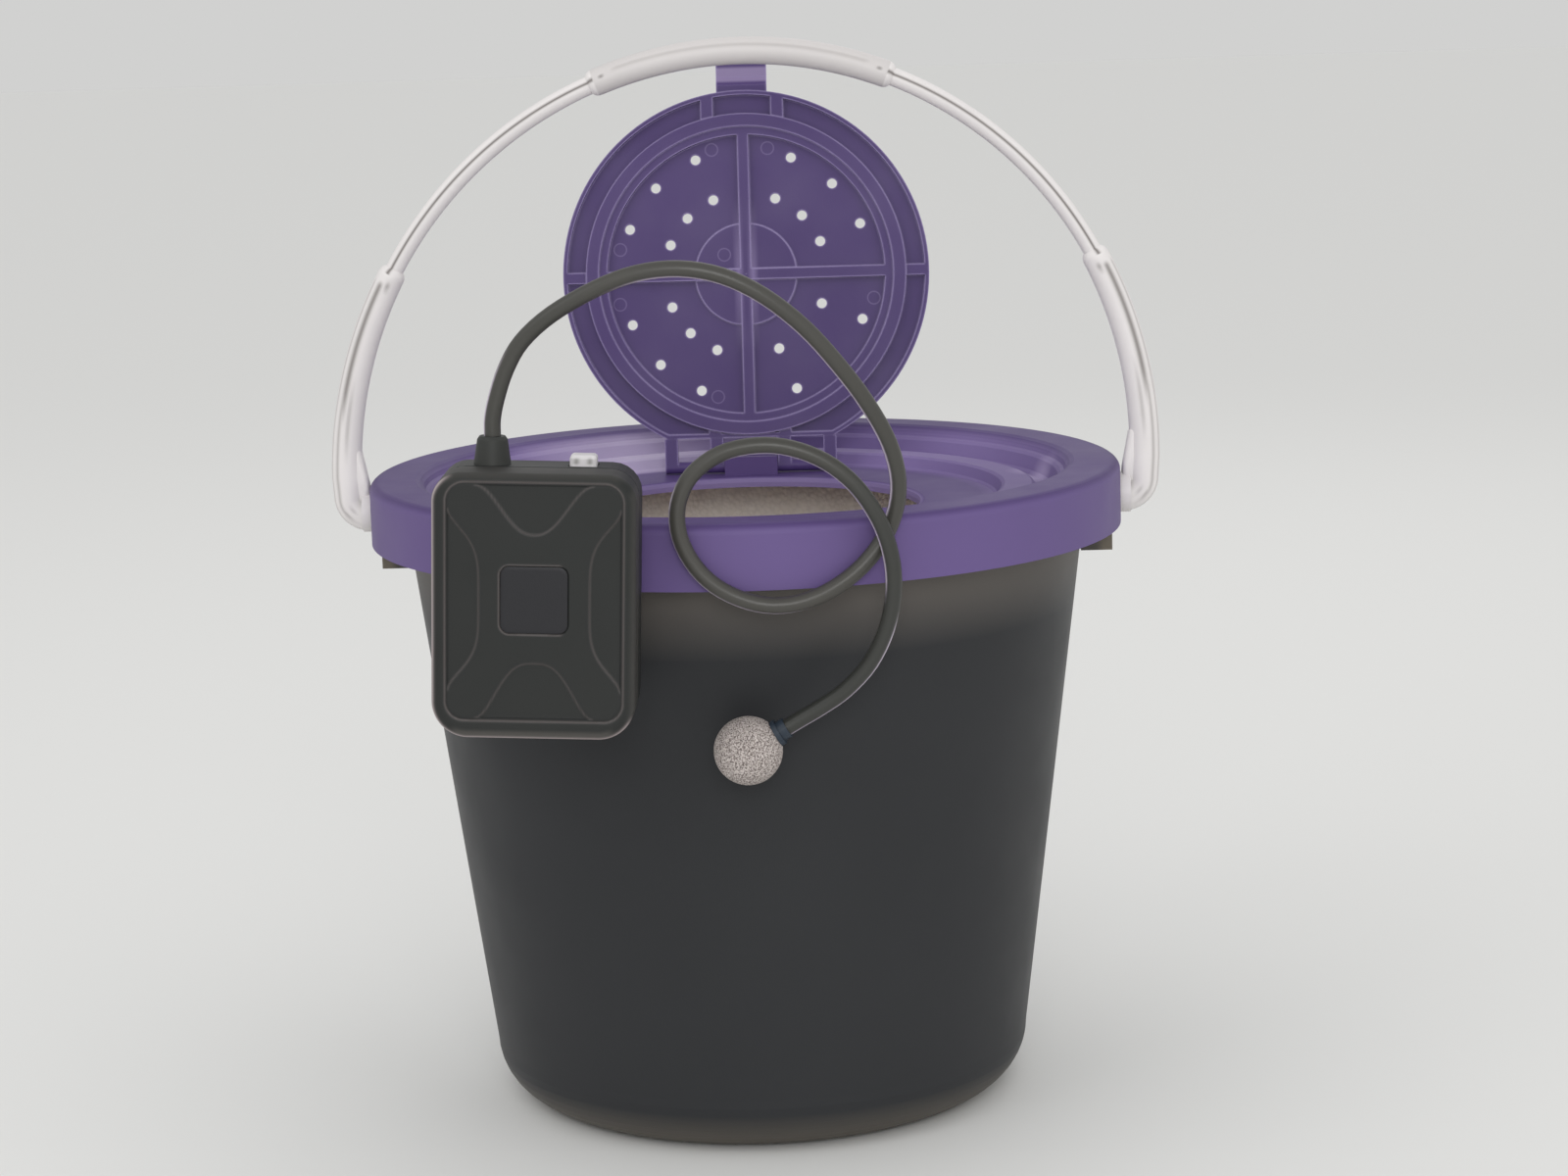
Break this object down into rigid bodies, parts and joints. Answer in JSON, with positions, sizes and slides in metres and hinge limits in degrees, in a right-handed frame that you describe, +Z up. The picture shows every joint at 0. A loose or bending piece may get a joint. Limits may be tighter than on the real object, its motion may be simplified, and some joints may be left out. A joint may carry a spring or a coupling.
{
  "type": "aerated bait bucket",
  "caption": "Insulated bait bucket with a snap lid, perforated hatch and swing bail, and a battery air pump hooked on its rim with hose and air stone.",
  "frame": {"origin": "centre of the pail's flat base", "axes": "+Z up, -Y to the front where the pump hangs, +X to the right seen from the front"},
  "size_m": [0.328, 0.3324, 0.4189],
  "materials": {
    "pail_plastic": "satin moulded, dark grey",
    "foam": "beaded expanded foam",
    "lid_plastic": "satin moulded, violet",
    "hatch_plastic": "satin moulded, darker violet",
    "bail_plastic": "smooth, near white",
    "case_plastic": "fine texture",
    "badge_plastic": "smooth",
    "black_rubber": "matt",
    "screw_steel": "plated",
    "battery_jacket": "plain jacket",
    "contact_steel": "plated",
    "inner_plastic": "plain",
    "motor_steel": "plated",
    "rod_plastic": "plain",
    "button_plastic": "smooth",
    "hook_steel": "plated strip",
    "boot_rubber": "matt",
    "hose_vinyl": "soft vinyl",
    "nipple_plastic": "plain",
    "porous_stone": "porous bonded grit"
  },
  "bodies": {
    "bucket": {"bucket_shell": "pail_plastic", "foam_liner": "foam"},
    "bail": {"bail_handle": "bail_plastic"},
    "lid": {"lid": "lid_plastic"},
    "hatch": {"hatch_door": "hatch_plastic"},
    "pump": {"pump_front_case": "case_plastic", "pump_back_case": "case_plastic", "case_gasket": "black_rubber", "blank_badge": "badge_plastic", "case_screws": "screw_steel", "battery_left": "battery_jacket", "battery_right": "battery_jacket", "contact_strip": "contact_steel", "battery_springs": "contact_steel", "inner_shelf": "inner_plastic", "motor_can": "motor_steel", "connecting_rod": "rod_plastic", "diaphragm": "black_rubber", "pump_head": "inner_plastic", "power_switch": "inner_plastic", "rim_hook": "hook_steel", "hook_screws": "screw_steel", "tube_boot": "boot_rubber", "air_hose": "hose_vinyl", "stone_nipple": "nipple_plastic", "air_stone": "porous_stone"},
    "battery_door": {"battery_door": "case_plastic"},
    "button": {"power_button": "button_plastic"},
    "drive": {"motor_eccentric": "motor_steel"}
  },
  "joints": [
    {"name": "bail_hinge", "type": "hinge", "parent": "bucket", "child": "bail", "pos_m": [0, 0, 0.2364], "axis": [-1, 0, 0], "range_deg": [-50, 28]},
    {"name": "lid_lift", "type": "slide", "parent": "bucket", "child": "lid", "axis": [0, 0, 1], "range_m": [0, 0.03]},
    {"name": "hatch_hinge", "type": "hinge", "parent": "lid", "child": "hatch", "pos_m": [0, 0.08, 0.2392], "axis": [1, 0, 0], "range_deg": [0, 98]},
    {"name": "pump_lift", "type": "slide", "parent": "lid", "child": "pump", "axis": [0, 0, 1], "range_m": [0, 0.012]},
    {"name": "battery_door_slide", "type": "slide", "parent": "pump", "child": "battery_door", "axis": [-0.0454, 0, -0.999], "range_m": [0, 0.058]},
    {"name": "power_button_press", "type": "slide", "parent": "pump", "child": "button", "axis": [-0.0454, 0, -0.999], "range_m": [0, 0.0018], "stiffness_N_per_m": 300},
    {"name": "motor_spin", "type": "hinge", "parent": "pump", "child": "drive", "pos_m": [-0.05181, -0.16467, 0.26126], "axis": [0, 1, 0], "continuous": true}
  ]
}
